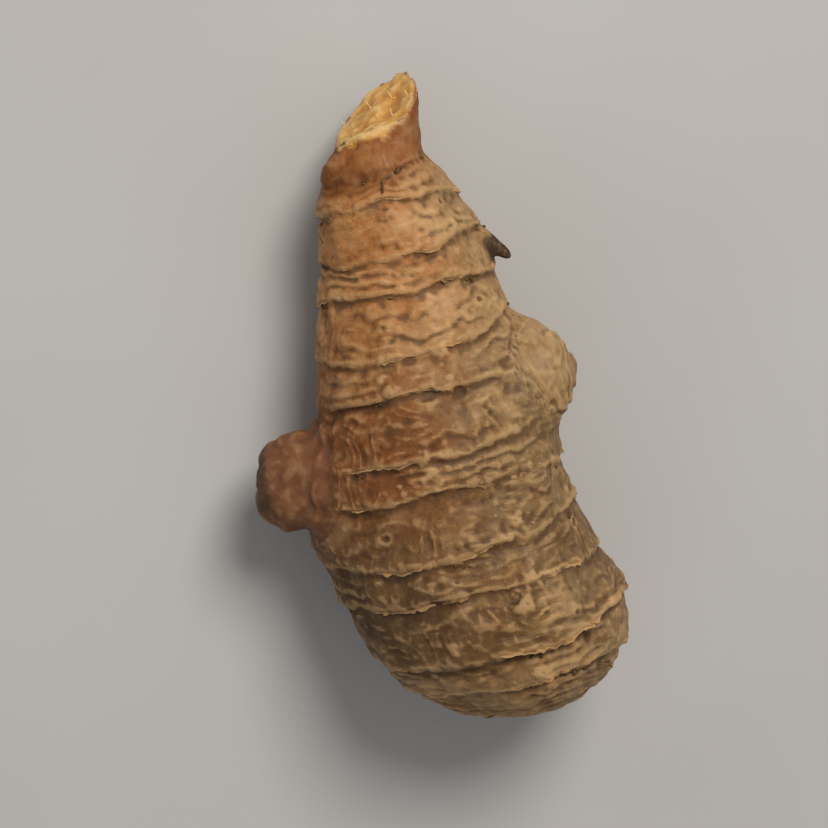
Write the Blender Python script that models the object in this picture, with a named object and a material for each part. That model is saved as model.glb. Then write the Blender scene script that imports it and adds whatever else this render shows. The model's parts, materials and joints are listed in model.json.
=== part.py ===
"""A fresh turmeric rhizome: one plump finger, snapped off its mother root at a narrow neck.

It lies on its belly along +X, from the snapped neck to the rounded growing end. Leaf-scar rings run
round it, a side bud swells on its +Y side and a short side finger stands out on its -Y side.
It grew as one piece, so it is one closed solid. Metres, +Z up.
"""

import math

import bmesh
import bpy
from mathutils import Vector, noise

MM = 0.001
NAME = "turmeric_root"

# The finger itself.
LENGTH = 59.5 * MM  # snapped neck to growing end
DOME_START = 47.5 * MM  # the sides close over the growing end from here
DOME_POWER = 0.55  # 0.5 would be a half ellipse; a little more is a little more pointed
NECK_LIFT = 4.2 * MM  # the neck curves up off the surface by this much
NECK_LIFT_END = 28.0 * MM
NECK_LIFT_POWER = 1.5  # larger keeps the curve nearer the neck
TIP_LIFT = 1.3 * MM  # and the growing end a little
TIP_LIFT_START = 47.0 * MM
BELLY_SINK = 0.30 * MM  # cut off below, as the small flat that the root rests on
BELLY_CALM = 0.9 * MM  # rings and lumps fade out within this height of the flat

# Girth along the finger, in millimetres: distance from the neck, half width, half height, sideways shift.
GIRTH = (
    (0.0, 4.5, 4.1, 1.7),
    (3.5, 4.2, 4.0, 0.9),
    (7.0, 4.7, 4.5, -0.2),
    (11.0, 6.3, 6.0, -0.4),
    (16.0, 7.6, 7.2, -0.1),
    (21.0, 8.5, 8.1, -0.4),
    (27.0, 9.7, 9.2, -0.9),
    (34.0, 10.6, 10.2, -1.4),
    (41.0, 11.4, 10.8, -1.9),
    (45.0, 11.8, 11.1, -1.4),
    (49.0, 12.5, 11.4, 0.0),
    (53.5, 12.6, 11.3, 0.9),
    (59.5, 12.5, 11.2, 1.7),
)

# Leaf-scar rings, in millimetres: distance from the neck, depth of the groove, lean of the ring.
RINGS = (
    (8.0, 0.50, 0.3),
    (11.4, 0.28, -0.5),
    (15.2, 0.36, 0.6),
    (19.3, 0.33, -0.7),
    (23.4, 0.26, 0.5),
    (28.4, 0.46, -0.9),
    (32.4, 0.34, 0.6),
    (36.7, 0.44, -1.0),
    (41.1, 0.48, 0.8),
    (45.7, 0.38, -0.8),
    (50.3, 0.52, 0.9),
    (54.5, 0.38, -0.5),
    (57.6, 0.34, 0.2),
)
COLLAR_HEIGHT = 0.24 * MM  # the raised edge that each scale leaf left beside its groove
GROOVE_EDGE = 0.34  # shares of the way to the next ring: where the groove has risen to the skin,
COLLAR_FOOT = 0.45  # where the collar starts to rise
COLLAR_EDGE = 0.92  # and where it ends
GROOVE_LENGTH = 1.4 * MM  # the first groove's way down and the last one's way up
LEAN_TURN = 0.6  # the rings' high side, as an angle round the root
RING_WAVE = 0.85 * MM  # how far a ring wanders from a true circle
RING_WAVE_TURNS = 2.1  # larger is more waves round the root
RING_WAVE_LENGTH = 5.0 * MM
RING_STRENGTH = 0.68  # rings stand out by this much of their height,
RING_UNEVENNESS = 0.95  # give or take this share, stronger on some sides than on others

# Lumps of the whole surface.
LUMP_HEIGHT = 0.55 * MM
LUMP_SIZE = 9.0 * MM
KNOT_HEIGHT = 0.20 * MM
KNOT_SIZE = 3.2 * MM

# The snapped end: a slanted tear that shows the flesh.
TEAR_RISE = 0.29  # the tear leans back towards the top by this slope,
TEAR_TWIST = 0.045 / MM  # which grows by 0.045 for each millimetre towards the +Y side
TEAR_SLANT = -0.42  # and it reaches further out on the +Y side
TEAR_ROUGH = 0.42 * MM
TEAR_COARSE = 2.6 * MM  # size of the tear's large and small lumps
TEAR_FINE = 1.2 * MM
TEAR_FINE_SHARE = 0.5  # height of the small lumps beside the large ones
TEAR_HOLLOW = 0.5 * MM  # the torn face dips between its edge and its middle
TEAR_FADE_END = 8.0 * MM

# Mounds raised on the surface: distance from the neck, angle up from +Y, radius, height and steepness.
SIDE_BUD = (28.8 * MM, math.radians(17), 5.3 * MM, 3.3 * MM, 0.75)
STUB_MOUND = (35.4 * MM, math.radians(184), 8.2 * MM, 1.7 * MM, 1.6)
NECK_KNOB = (6.7 * MM, math.radians(160), 1.7 * MM, 0.95 * MM, 0.8)
MOUNDS = (SIDE_BUD, STUB_MOUND, NECK_KNOB)
BUD_TIP_SHIFT = 0.8 * MM  # the bud's pointed middle lies this much nearer the growing end
BUD_TIP_HEIGHT = 0.7 * MM
BUD_TIP_SIZE = 1.7 * MM
BUD_SCALE_HEIGHT = 0.30 * MM  # the scale leaf's scar round the bud, and its radius and width
BUD_SCALE_RADIUS = 3.3 * MM
BUD_SCALE_WIDTH = 0.75 * MM
BARE_BUD = 0.9 * MM  # rings stop where the bud stands this high,
BARE_STUB = 1.3 * MM  # and where the foot of the side finger does

# The short side finger, with its own girth in millimetres along its axis: distance, radius.
STUB_FOOT = Vector((36.0, -6.2, 9.8)) * MM
STUB_AXIS = Vector((-0.27, -0.95, -0.13)).normalized()
STUB_GIRTH = (
    (0.0, 5.0),
    (5.4, 4.9),
    (6.9, 4.75),
    (7.3, 4.35),
    (8.2, 4.45),
    (9.5, 4.4),
    (9.9, 4.0),
    (10.9, 3.65),
    (11.7, 2.7),
    (12.0, 1.7),
    (11.7, 0.9),
)
STUB_SCAR_DEPTH = 0.15  # the middle of its dried end lies this much deeper, in millimetres
STUB_SIDES = 28
STUB_LUMP = 0.45 * MM

# A dried rootlet that still sticks out beside the neck.
ROOTLET_FOOT = Vector((15.0, 5.8, 9.2)) * MM
ROOTLET_AXIS = Vector((0.74, 0.66, 0.13)).normalized()
ROOTLET_GIRTH = ((0.0, 1.0), (2.2, 0.95), (3.6, 0.78), (4.6, 0.6), (5.3, 0.3))
ROOTLET_SIDES = 7

# How finely the surface is divided.
SIDES = 64
SHARES_BETWEEN_RINGS = (0.0, 0.2, 0.5, 0.8, COLLAR_EDGE)
TEAR_LOOPS = (0.82, 0.6, 0.38, 0.17)
EDGE_ROWS = (3.1 * MM, 4.5 * MM, 5.8 * MM, 7.0 * MM)
END_ROWS = (0.0 * MM, 0.55 * MM, 1.1 * MM, 1.55 * MM)  # past the last ring
NEAR = 0.02 * MM  # a short step for working out slopes, and the same as an angle
NEAR_TURN = 0.01

SKIN_COLOUR = (0.305, 0.170, 0.078, 1.0)
SKIN_ROUGHNESS = 0.78
FLESH_COLOUR = (0.62, 0.27, 0.055, 1.0)
FLESH_ROUGHNESS = 0.55
SHARP_ANGLE = math.radians(50)  # edges bent further than this are shaded as edges


def smooth(share):
    """Eases a share from 0 to 1, with no corner at either end."""
    share = min(1.0, max(0.0, share))
    return share * share * (3.0 - 2.0 * share)


def along(table, distance, column):
    """The table's value at a distance along it, on a smooth curve through its rows."""
    last = len(table) - 1
    row = 0
    while row < last - 1 and table[row + 1][0] < distance:
        row += 1
    before, here, after, beyond = (table[min(last, max(0, row + step))] for step in (-1, 0, 1, 2))
    span = after[0] - here[0]
    share = (distance - here[0]) / span
    slope_in = (after[column] - before[column]) / (after[0] - before[0]) * span
    slope_out = (beyond[column] - here[column]) / (beyond[0] - here[0]) * span
    square, cube = share**2, share**3
    return (
        (2 * cube - 3 * square + 1) * here[column]
        + (cube - 2 * square + share) * slope_in
        + (3 * square - 2 * cube) * after[column]
        + (cube - square) * slope_out
    )


def closing(x):
    """1 along the sides, falling to 0 at the tip of the growing end."""
    if x <= DOME_START:
        return 1.0
    share = min(1.0, (x - DOME_START) / (LENGTH - DOME_START))
    return (1.0 - share * share) ** DOME_POWER


def section(x):
    """Half width, half height, sideways shift and height of the axis, at a distance from the neck."""
    half_width, half_height, shift = (along(GIRTH, x / MM, column) * MM for column in (1, 2, 3))
    lift = NECK_LIFT * (1.0 - smooth(x / NECK_LIFT_END)) ** NECK_LIFT_POWER
    lift += TIP_LIFT * smooth((x - TIP_LIFT_START) / (LENGTH - TIP_LIFT_START))
    return half_width * closing(x), half_height * closing(x), shift, half_height - BELLY_SINK + lift


def smooth_point(x, angle):
    """A point on the finger before rings, buds and lumps."""
    half_width, half_height, shift, height = section(x)
    return Vector((x, shift + half_width * math.cos(angle), height + half_height * math.sin(angle)))


def outward(x, angle):
    """The direction straight out of the smooth finger."""
    x = min(x, LENGTH - 2 * NEAR)
    lengthwise = smooth_point(x + NEAR, angle) - smooth_point(x - NEAR, angle)
    around = smooth_point(x, angle + NEAR_TURN) - smooth_point(x, angle - NEAR_TURN)
    return around.cross(lengthwise).normalized()


def ring_place(x, angle):
    """Where a ring's point really lies along the finger: rings lean to alternate sides, and wander."""
    lean = along(RINGS, max(RINGS[0][0], min(x / MM, RINGS[-1][0])), 2) * MM
    turned = Vector((math.cos(angle), math.sin(angle), 0.0)) * RING_WAVE_TURNS
    wander = RING_WAVE * noise.noise(turned + Vector((0.0, 0.0, x / RING_WAVE_LENGTH)))
    calm = closing(x) * smooth((x - EDGE_ROWS[0]) / (RINGS[0][0] * MM - EDGE_ROWS[0]))
    return x + (lean * math.sin(angle - LEAN_TURN) + wander) * calm


def ring_relief(x):
    """Height of the skin along one joint of the root: up from a groove to the collar before the next one."""
    for (start, groove, _), (end, next_groove, _) in zip(RINGS, RINGS[1:]):
        if start <= x / MM < end:
            share = (x / MM - start) / (end - start)
            if share > COLLAR_EDGE:
                drop = smooth((share - COLLAR_EDGE) / (1.0 - COLLAR_EDGE))
                return COLLAR_HEIGHT * (1.0 - drop) - next_groove * MM * drop
            collar = COLLAR_HEIGHT * smooth((share - COLLAR_FOOT) / (COLLAR_EDGE - COLLAR_FOOT))
            return collar - groove * MM * (1.0 - smooth(share / GROOVE_EDGE))
    end_ring = RINGS[0] if x / MM < RINGS[0][0] else RINGS[-1]
    return -end_ring[1] * MM * (1.0 - smooth(abs(x - end_ring[0] * MM) / GROOVE_LENGTH))


def ring_strength(x, angle):
    """Each ring is strong on some sides of the root and faint on others."""
    turned = Vector((math.cos(angle), math.sin(angle), x / RING_WAVE_LENGTH))
    return max(0.0, RING_STRENGTH + RING_UNEVENNESS * noise.noise(turned))


def mound(x, angle, place):
    """How far one mound stands out at this point."""
    centre_x, centre_angle, radius, height, steepness = place
    half_width = section(centre_x)[0]
    turn = math.remainder(angle - centre_angle, math.tau)
    distance = math.hypot(x - centre_x, turn * half_width) / radius
    return height * (1.0 - distance**2) ** steepness if distance < 1.0 else 0.0


def bud_detail(x, angle):
    """The small point in the middle of the side bud, and the scar of its scale leaf round it."""
    centre_x, centre_angle = SIDE_BUD[:2]
    across = math.remainder(angle - centre_angle, math.tau) * section(centre_x)[0]
    reach = math.hypot(x - centre_x - BUD_TIP_SHIFT, across)
    scar = 1.0 - smooth(abs(reach - BUD_SCALE_RADIUS) / BUD_SCALE_WIDTH)
    return BUD_TIP_HEIGHT * (1.0 - smooth(reach / BUD_TIP_SIZE)) + BUD_SCALE_HEIGHT * scar


def surface_point(x, angle):
    """A point on the finished skin."""
    place = ring_place(x, angle)
    base = smooth_point(place, angle)
    mounds = sum(mound(place, angle, each) for each in MOUNDS)
    lumps = LUMP_HEIGHT * noise.noise(base / LUMP_SIZE) + KNOT_HEIGHT * noise.noise(base / KNOT_SIZE)
    belly = smooth(base.z / BELLY_CALM)
    bare = mound(place, angle, SIDE_BUD) / BARE_BUD + mound(place, angle, STUB_MOUND) / BARE_STUB
    rings = ring_relief(x) * ring_strength(x, angle) * (1.0 - smooth(bare))
    lumps *= closing(x)
    return base + outward(place, angle) * ((rings + lumps) * belly + mounds + bud_detail(place, angle))


def tear_offset(y, z):
    """How far along the finger the torn face lies at this place across the neck."""
    across = Vector((y, z, 0.0))
    rough = noise.noise(across / TEAR_COARSE) + TEAR_FINE_SHARE * noise.noise(across / TEAR_FINE)
    return (TEAR_RISE + TEAR_TWIST * y) * z + TEAR_SLANT * y + TEAR_ROUGH * rough


def angles():
    return [math.tau * side / SIDES for side in range(SIDES)]


def edge_loop(x):
    """One loop of the neck, drawn towards the slanted edge of the tear as it nears it."""
    pull = 1.0 - smooth((x - EDGE_ROWS[0]) / (TEAR_FADE_END - EDGE_ROWS[0]))
    _, _, shift, height = section(x)
    loop = []
    for angle in angles():
        point = surface_point(x, angle)
        point.x += pull * tear_offset(point.y - shift, point.z - height)
        loop.append(point)
    return loop


def tear_loops(edge):
    """Loops across the torn face, from its edge to its middle."""
    _, _, shift, height = section(EDGE_ROWS[0])
    centre = Vector((0.0, shift, height))
    loops = []
    for share in TEAR_LOOPS:
        loop = []
        for point in edge:
            y, z = (point.y - centre.y) * share, (point.z - centre.z) * share
            edge_x = EDGE_ROWS[0] + tear_offset(y, z)
            hollow = TEAR_HOLLOW * math.sin(math.pi * share)
            loop.append(Vector((edge_x + hollow, centre.y + y, centre.z + z)))
        loops.append(loop)
    middle = Vector((EDGE_ROWS[0] + tear_offset(0.0, 0.0), centre.y, centre.z))
    return loops, middle


def skin_rows():
    """Distances of the loops from the neck: a few between each pair of rings, then over the growing end."""
    rows = []
    for (start, *_), (end, *_) in zip(RINGS, RINGS[1:]):
        rows += [(start + (end - start) * share) * MM for share in SHARES_BETWEEN_RINGS]
    return rows + [RINGS[-1][0] * MM + past for past in END_ROWS]


def add_loop(mesh, points):
    return [mesh.verts.new(point) for point in points]


def bridge(mesh, first, second, material=0):
    """Faces between two loops, the second further along the finger."""
    for side in range(len(first)):
        following = (side + 1) % len(first)
        face = mesh.faces.new((first[side], first[following], second[following], second[side]))
        face.material_index = material


def close_end(mesh, loop, tip, outwards, material=0):
    """A fan from the last loop to one point."""
    apex = mesh.verts.new(tip)
    for side in range(len(loop)):
        following = (side + 1) % len(loop)
        corners = (loop[side], loop[following], apex)
        face = mesh.faces.new(corners if outwards else corners[::-1])
        face.material_index = material


def finger_mesh():
    """The whole finger as one closed mesh, with the flat that it rests on."""
    mesh = bmesh.new()
    edge = edge_loop(EDGE_ROWS[0])
    torn, torn_middle = tear_loops(edge)
    loops = [add_loop(mesh, points) for points in reversed(torn)]
    flesh_loops = len(loops)
    loops += [add_loop(mesh, edge)]
    loops += [add_loop(mesh, edge_loop(x)) for x in EDGE_ROWS[1:]]
    loops += [add_loop(mesh, [surface_point(x, angle) for angle in angles()]) for x in skin_rows()]
    for number, (first, second) in enumerate(zip(loops, loops[1:])):
        bridge(mesh, first, second, material=1 if number < flesh_loops else 0)
    close_end(mesh, loops[0], torn_middle, outwards=False, material=1)
    _, _, shift, height = section(LENGTH)
    close_end(mesh, loops[-1], Vector((LENGTH, shift, height)), outwards=True)
    for vertex in mesh.verts:
        vertex.co.z = max(0.0, vertex.co.z)
    bmesh.ops.recalc_face_normals(mesh, faces=mesh.faces)
    return mesh


def spur_mesh(foot, axis, girth, sides, lump):
    """A side shoot: loops along a straight axis, closed at both ends."""
    mesh = bmesh.new()
    across = axis.cross(Vector((0.0, 0.0, 1.0))).normalized()
    upward = across.cross(axis)
    loops = []
    for distance, radius in girth:
        centre = foot + axis * distance * MM
        loop = []
        for side in range(sides):
            angle = math.tau * side / sides
            spoke = across * math.cos(angle) + upward * math.sin(angle)
            uneven = lump * noise.noise((centre + spoke * radius * MM) / KNOT_SIZE)
            loop.append(centre + spoke * (radius * MM + uneven))
        loops.append(add_loop(mesh, loop))
    for first, second in zip(loops, loops[1:]):
        bridge(mesh, first, second)
    close_end(mesh, loops[0], foot, outwards=False)
    close_end(mesh, loops[-1], foot + axis * (girth[-1][0] - STUB_SCAR_DEPTH) * MM, outwards=True)
    bmesh.ops.recalc_face_normals(mesh, faces=mesh.faces)
    return mesh


def new_object(name, mesh, materials):
    data = bpy.data.meshes.new(name)
    mesh.to_mesh(data)
    mesh.free()
    for material in materials:
        data.materials.append(material)
    made = bpy.data.objects.new(name, data)
    bpy.context.scene.collection.objects.link(made)
    return made


def new_material(name, colour, roughness):
    material = bpy.data.materials.new(name)
    material.use_nodes = True
    shader = material.node_tree.nodes["Principled BSDF"]
    shader.inputs["Base Color"].default_value = colour
    shader.inputs["Roughness"].default_value = roughness
    shader.inputs["Metallic"].default_value = 0.0
    return material


def join(finger, shoots):
    """Grows the side shoots into the finger, so that they are one body."""
    helpers = bpy.data.collections.new("side_shoots")
    for shoot in shoots:
        helpers.objects.link(shoot)
    union = finger.modifiers.new("grow_together", "BOOLEAN")
    union.operation = "UNION"
    union.operand_type = "COLLECTION"
    union.collection = helpers
    union.solver = "EXACT"
    graph = bpy.context.evaluated_depsgraph_get()
    grown = bpy.data.meshes.new_from_object(finger.evaluated_get(graph))
    finger.modifiers.clear()
    finger.data = grown
    for shoot in shoots:
        bpy.data.objects.remove(shoot)
    bpy.data.collections.remove(helpers)


def set_on_origin(finger):
    """Puts the origin under the middle of the root, on the surface that it lies on."""
    corners = [vertex.co for vertex in finger.data.vertices]
    low_x, high_x = min(c.x for c in corners), max(c.x for c in corners)
    low_y, high_y = min(c.y for c in corners), max(c.y for c in corners)
    for vertex in finger.data.vertices:
        vertex.co.x -= (low_x + high_x) / 2
        vertex.co.y -= (low_y + high_y) / 2


def main():
    for old in list(bpy.data.objects):
        bpy.data.objects.remove(old)
    skin = new_material("turmeric_skin", SKIN_COLOUR, SKIN_ROUGHNESS)
    flesh = new_material("turmeric_flesh", FLESH_COLOUR, FLESH_ROUGHNESS)
    finger = new_object(NAME, finger_mesh(), (skin, flesh))
    stub = spur_mesh(STUB_FOOT, STUB_AXIS, STUB_GIRTH, STUB_SIDES, STUB_LUMP)
    rootlet = spur_mesh(ROOTLET_FOOT, ROOTLET_AXIS, ROOTLET_GIRTH, ROOTLET_SIDES, 0.0)
    join(finger, [new_object("side_finger", stub, (skin,)), new_object("rootlet", rootlet, (skin,))])
    set_on_origin(finger)
    finger.data.shade_smooth()
    finger.data.set_sharp_from_angle(angle=SHARP_ANGLE)


main()
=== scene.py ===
"""A fresh turmeric rhizome, snapped off its mother root, on a pale floor.

Laid out as an add-on: one operator for each group of pieces, and one for the stage. Metres, +Z up.
The root lies along +X, from its torn neck to its rounded growing end. Places on it are given as a
distance from the neck and an angle round its axis, where 0 is +Y and a quarter turn is straight up.
"""

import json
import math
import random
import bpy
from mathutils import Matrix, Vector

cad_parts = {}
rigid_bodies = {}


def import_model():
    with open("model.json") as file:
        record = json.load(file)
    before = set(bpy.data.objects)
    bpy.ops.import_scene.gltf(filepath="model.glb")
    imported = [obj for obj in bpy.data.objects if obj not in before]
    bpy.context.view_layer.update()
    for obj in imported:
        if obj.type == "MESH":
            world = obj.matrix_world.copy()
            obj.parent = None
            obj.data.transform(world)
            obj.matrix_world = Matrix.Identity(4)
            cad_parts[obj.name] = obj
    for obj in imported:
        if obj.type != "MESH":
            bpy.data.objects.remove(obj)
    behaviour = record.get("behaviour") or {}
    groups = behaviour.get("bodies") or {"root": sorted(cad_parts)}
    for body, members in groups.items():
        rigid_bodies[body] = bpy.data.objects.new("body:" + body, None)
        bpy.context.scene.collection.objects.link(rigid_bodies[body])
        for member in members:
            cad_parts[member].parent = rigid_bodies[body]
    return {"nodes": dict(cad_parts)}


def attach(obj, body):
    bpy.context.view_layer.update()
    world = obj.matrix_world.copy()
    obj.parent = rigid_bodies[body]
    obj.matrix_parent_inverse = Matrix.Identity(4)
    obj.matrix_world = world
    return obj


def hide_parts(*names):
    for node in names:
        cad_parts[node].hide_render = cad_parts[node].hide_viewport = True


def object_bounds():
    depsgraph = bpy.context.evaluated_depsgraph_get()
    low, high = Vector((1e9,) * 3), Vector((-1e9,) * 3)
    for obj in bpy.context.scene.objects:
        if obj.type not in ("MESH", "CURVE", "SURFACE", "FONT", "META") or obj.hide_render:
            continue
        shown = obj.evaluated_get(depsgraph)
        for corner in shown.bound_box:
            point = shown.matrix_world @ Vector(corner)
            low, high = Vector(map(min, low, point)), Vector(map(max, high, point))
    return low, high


bl_info = {
    "name": "Turmeric Root",
    "version": (1, 0, 0),
    "blender": (4, 5, 0),
    "location": "3D View > Sidebar > Turmeric",
    "description": "Models a fresh turmeric root with its rings, torn neck, dried rootlets and soil",
    "category": "Add Mesh",
}

from functools import partial

import bpy
import numpy as np
from mathutils import Matrix, Vector, noise
from mathutils.bvhtree import BVHTree

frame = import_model()
cad_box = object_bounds()

MM = 0.001
EVEN = (1.0, 1.0, 1.0)
NODE = "turmeric_root"
BODY = "root"

# The axis of the root. Its growing end is the frame's furthest point along +X.
AXIS_LENGTH = 59.5 * MM
TIP_SHIFT = 1.7 * MM
TIP = max((corner.co for corner in frame["nodes"][NODE].data.vertices), key=lambda place: place.x)
ORIGIN = Vector((TIP.x - AXIS_LENGTH, TIP.y - TIP_SHIFT, 0.0))
DOME_START = 47.5 * MM
DOME_POWER = 0.55
NECK_LIFT = 4.2 * MM
NECK_LIFT_END = 28.0 * MM
NECK_LIFT_POWER = 1.5
TIP_LIFT = 1.3 * MM
TIP_LIFT_START = 47.0 * MM
BELLY_SINK = 0.30 * MM

# Girth along the root, in millimetres: distance, half width, half height, sideways shift.
GIRTH = np.array((
    (0.0, 4.5, 4.1, 1.7),
    (3.5, 4.2, 4.0, 0.9),
    (7.0, 4.7, 4.5, -0.2),
    (11.0, 6.3, 6.0, -0.4),
    (16.0, 7.6, 7.2, -0.1),
    (21.0, 8.5, 8.1, -0.4),
    (27.0, 9.7, 9.2, -0.9),
    (34.0, 10.6, 10.2, -1.4),
    (41.0, 11.4, 10.8, -1.9),
    (45.0, 11.8, 11.1, -1.4),
    (49.0, 12.5, 11.4, 0.0),
    (53.5, 12.6, 11.3, 0.9),
    (59.5, 12.5, 11.2, 1.7),
)) * MM

# Leaf-scar rings, in millimetres: distance and lean.
RINGS = np.array((
    (8.0, 0.3),
    (11.4, -0.5),
    (15.2, 0.6),
    (19.3, -0.7),
    (23.4, 0.5),
    (28.4, -0.9),
    (32.4, 0.6),
    (36.7, -1.0),
    (41.1, 0.8),
    (45.7, -0.8),
    (50.3, 0.9),
    (54.5, -0.5),
    (57.6, 0.2),
)) * MM
RINGS_START = 7.2 * MM
# How dark each ring's groove is painted: the rings' own darker colour, with painted shade under the lips.
GROOVE_SHADE = np.array((1.4, 0.5, 0.6, 0.7, 0.6, 1.0, 0.8, 0.9, 0.9, 1.0, 1.4, 0.8, 1.1))
LEAN_TURN = 0.6
RING_WAVE = 0.85 * MM
RING_WAVE_TURNS = 2.1
RING_WAVE_LENGTH = 5.0 * MM
# Where a ring's lip stands and how wide it is, as shares of the way to the next ring.
RING_LIP = 0.90
LIP_WIDTH = 0.055
LIP_WAVER = 0.06
# Fine rings: how many lie between two leaf scars, and the share of each over which it rises.
FINE_RINGS = 3.0
FINE_RING_RISE = 0.72
GRAIN_HEIGHT = 0.05 * MM

# The torn face of the neck: how it leans back, turns, slants and is roughened.
NECK_EDGE = 3.1 * MM
TEAR_RISE = 0.29
TEAR_TWIST = 0.045 / MM
TEAR_SLANT = -0.42
TEAR_ROUGH = 0.42 * MM
TEAR_COARSE = 2.6 * MM
TEAR_FINE = 1.2 * MM
TEAR_FINE_SHARE = 0.5
TEAR_NORMAL = Vector((-1.0, TEAR_SLANT, TEAR_RISE)).normalized()
# Flesh lies no further behind the tear's face, and no further along the root, than this.
TEAR_DEPTH = 0.9 * MM
TEAR_END = 9.0 * MM
FLESH_HEIGHT = 0.17 * MM
# The ring round the flesh's core: its share of the way out from the middle, and its height.
STELE = 0.60
STELE_HEIGHT = 0.10 * MM

# Shoots. The side bud: distance, angle, the radius of its foot and of its cap, and how deep it is rooted.
BUD = (28.8 * MM, math.radians(17))
BUD_FOOT = 5.2 * MM
BUD_CAP = 3.4 * MM
BUD_DEPTH = 2.5 * MM
BUD_TIP_SHIFT = 0.8 * MM
BUD_RINGS = (1.0, 0.68, 0.36)  # as shares of its cap's radius
# The short side finger: foot, axis, where it stands clear, its radius, length and rings.
STUB_FOOT = Vector((36.0, -6.2, 9.8)) * MM
STUB_AXIS = Vector((-0.27, -0.95, -0.13)).normalized()
STUB_JOINT = 4.8 * MM
STUB_START = 4.6 * MM
STUB_RADIUS = 5.8 * MM
STUB_LENGTH = 11.9 * MM
STUB_RINGS = (6.8 * MM, 9.6 * MM)
# Their rings: height, the ridge's width, how far behind it its groove lies, and the groove's width.
BUD_RIDGE = (0.18 * MM, 0.30 * MM, 0.6 * MM, 0.35 * MM)
STUB_RIDGE = (0.13 * MM, 0.35 * MM, 0.7 * MM, 0.35 * MM)
JOINT_ROUNDS = 90  # how often the inner corners at their feet are evened out
# The stump of a dead rootlet: foot, axis, where it turns black, its radius.
STUMP_FOOT = Vector((15.0, 5.8, 9.2)) * MM
STUMP_AXIS = Vector((0.74, 0.66, 0.13)).normalized()
STUMP_START = 1.7 * MM
STUMP_RADIUS = 1.9 * MM

# Where the skin changes along the root: an end or a start and how far the change takes, or a middle and a
# width.
YOUNG_END = (24.0 * MM, 12.0 * MM)
BLUSH_END = (34.0 * MM, 20.0 * MM)
OLD_START = (20.0 * MM, 11.0 * MM)
OLD_FADING = (48.0 * MM, 7.0 * MM)
NECK_END = (12.0 * MM, 7.5 * MM)
# Painted shade in the crease where the neck meets the body.
NECK_FOLD = (8.4 * MM, 1.1 * MM)
ROSY_MIDDLE = (31.0 * MM, 9.0 * MM)
# Painted shade: darker brown about this middle, mostly on the -Y side, where neighbouring roots would shade
# the root.
PAINTED_SHADE_MIDDLE = (46.0 * MM, 8.0 * MM)
# Hollows: how often the skin is evened out to find them, and the depth of a full one.
FINE_HOLLOW = (6, 0.045 * MM)
BROAD_HOLLOW = (40, 0.20 * MM)

# Noise that breaks up the skin: the size of its lumps, where in the noise it starts, and its stretch.
NOISE = {
    "finger's end": (1.8 * MM, 93.0, EVEN),
    "finger's rings": (2.5 * MM, 43.0, EVEN),
    "bud's rings": (2.0 * MM, 47.0, EVEN),
    "bud's edge": (2.2 * MM, 59.0, EVEN),
    "broken rings": (2.4 * MM, 49.0, EVEN),
    "stump": (1.2 * MM, 91.0, EVEN),
    "torn edge": (0.9 * MM, 97.0, EVEN),
    "flesh": (0.8 * MM, 51.0, (1.0, 0.6, 1.0)),
    "broad flesh": (1.8 * MM, 53.0, EVEN),
    "marks": (0.9 * MM, 83.0, EVEN),
    "fine marks": (0.5 * MM, 87.0, EVEN),
    "patches": (2.4 * MM, 3.0, EVEN),
    "lip width": (1.6 * MM, 15.0, EVEN),
    "lip waver": (1.1 * MM, 19.0, EVEN),
    "lip grain": (0.6 * MM, 11.0, EVEN),
    "fine ring drift": (4.0 * MM, 8.0, EVEN),
    "fine ring waver": (1.5 * MM, 9.0, EVEN),
    "fine ring fading": (3.0 * MM, 21.0, (1.0, 0.5, 0.5)),
    "lengthwise": (4.6 * MM, 23.0, EVEN),
    "crosswise": (3.0 * MM, 27.0, EVEN),
    "wrinkles": (1.0 * MM, 5.0, (0.25, 1.0, 1.0)),
    "ripples": (0.9 * MM, 13.0, (1.0, 0.26, 0.26)),
    "lumps": (2.6 * MM, 31.0, EVEN),
    "small lumps": (1.3 * MM, 37.0, EVEN),
    "grains": (0.6 * MM, 41.0, EVEN),
    "dust": (3.5 * MM, 57.0, EVEN),
}
# How far patterns wander off the root's own lines, in what lumps, and a start for each direction.
WANDER = 0.7 * MM
WANDER_SIZE = 3.2 * MM
WANDER_STARTS = (61.0, 67.0, 71.0)

# Marks placed one by one: kind, distance, angle in degrees, radius in millimetres.
PLACED_MARKS = (
    ("nub", 6.7, 148, 1.30),
    ("pit", 8.4, 118, 1.10),
    # Highlight patches are painted highlights on the root's shoulders, barely raised.
    ("highlight_patch", 12.8, 92, 2.40),
    ("highlight_patch", 20.8, 76, 2.10),
    ("highlight_patch", 30.4, 58, 1.90),
    ("stain", 29.6, 122, 1.70),
    ("stain", 39.2, 84, 2.00),
    ("stain", 45.4, 118, 2.20),
    ("highlight_patch", 47.2, 66, 1.80),
    ("highlight_patch", 53.4, 74, 1.70),
    ("pit", 27.3, 98, 0.85),
    ("pit", 27.8, 82, 0.95),
    ("nub", 26.4, 118, 0.70),
    ("nub", 33.6, 104, 1.05),
    ("pit", 51.6, 62, 0.75),
    ("pit", 52.3, 108, 0.60),
    ("nub", 46.6, 82, 1.15),
    ("nub", 44.6, 72, 0.80),
    ("scar", 42.3, 34, 0.72),
    ("nub", 24.2, 88, 0.80),
    ("scar", 20.9, 52, 0.50),
    ("nub", 39.5, 70, 0.90),
    ("scar", 38.6, 131, 0.62),
    ("pit", 44.4, 100, 0.60),
    ("nub", 49.2, 118, 0.70),
    ("nub", 53.4, 88, 0.80),
)
# Scattered marks: kinds, and ranges in millimetres of the distance past a ring and of the radius.
SCATTERED_KINDS = ("pit", "pit", "nub", "nub", "nub", "scar")
SCATTERED_PAST_RING = (0.4, 3.4)
SCATTERED_RADIUS = (0.30, 0.66)
MARK_STRETCH = (0.75, 1.35)
OFF_MARK = 9.0  # more radii away than any mark reaches
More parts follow.
